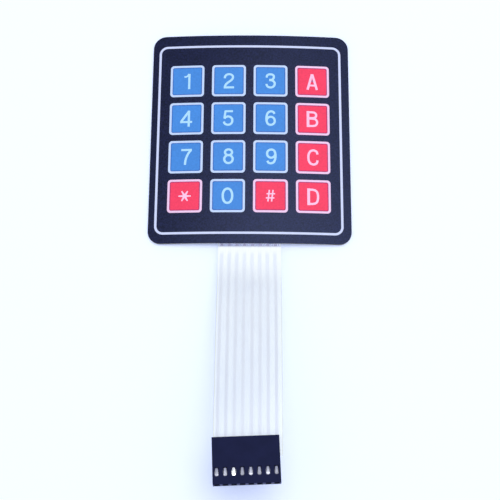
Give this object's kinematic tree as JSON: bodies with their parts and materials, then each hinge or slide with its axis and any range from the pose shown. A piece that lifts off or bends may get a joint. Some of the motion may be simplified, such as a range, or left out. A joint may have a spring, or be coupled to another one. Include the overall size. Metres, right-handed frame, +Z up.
{
  "type": "matrix keypad",
  "caption": "Flat membrane keypad: a bowed printed pad of touch keys whose circuit films run out as a clear tail to a crimped pin socket connector.",
  "frame": {"origin": "crown of the pad's bowed back (the highest line of its underside), halfway along the pad; the back's two side edges are 2 mm lower", "axes": "+X across the keys from column 1 to column 4, +Y along the pad away from the tail, +Z up out of the printed face"},
  "size_m": [0.0692, 0.1573, 0.0242],
  "materials": {
    "overlay": "fine matte",
    "pale_print": "fine matte",
    "blue_print": "fine matte",
    "red_print": "fine matte",
    "clear_glue": "clear",
    "clear_film": "gloss, clear",
    "spacer_film": "gloss, clear",
    "silver_ink": "dull printed silver",
    "rear_glue": "clear",
    "liner_paper": "waxed paper",
    "housing_plastic": "satin",
    "tin_plate": "bright tin"
  },
  "bodies": {
    "root": {"graphic_overlay": "overlay", "frame_line": "pale_print", "key_borders": "pale_print", "key_1": "blue_print", "key_2": "blue_print", "key_3": "blue_print", "key_a": "red_print", "key_4": "blue_print", "key_5": "blue_print", "key_6": "blue_print", "key_b": "red_print", "key_7": "blue_print", "key_8": "blue_print", "key_9": "blue_print", "key_c": "red_print", "key_star": "red_print", "key_0": "blue_print", "key_hash": "red_print", "key_d": "red_print", "overlay_adhesive": "clear_glue", "upper_circuit_film": "clear_film", "column_track_1": "silver_ink", "column_track_2": "silver_ink", "column_track_3": "silver_ink", "column_track_4": "silver_ink", "spacer": "spacer_film", "row_track_1": "silver_ink", "row_track_2": "silver_ink", "row_track_3": "silver_ink", "row_track_4": "silver_ink", "lower_circuit_film": "clear_film", "rear_adhesive": "rear_glue", "release_liner": "liner_paper", "connector_housing": "housing_plastic", "contact_1": "tin_plate", "contact_2": "tin_plate", "contact_3": "tin_plate", "contact_4": "tin_plate", "contact_5": "tin_plate", "contact_6": "tin_plate", "contact_7": "tin_plate", "contact_8": "tin_plate"}
  },
  "joints": []
}
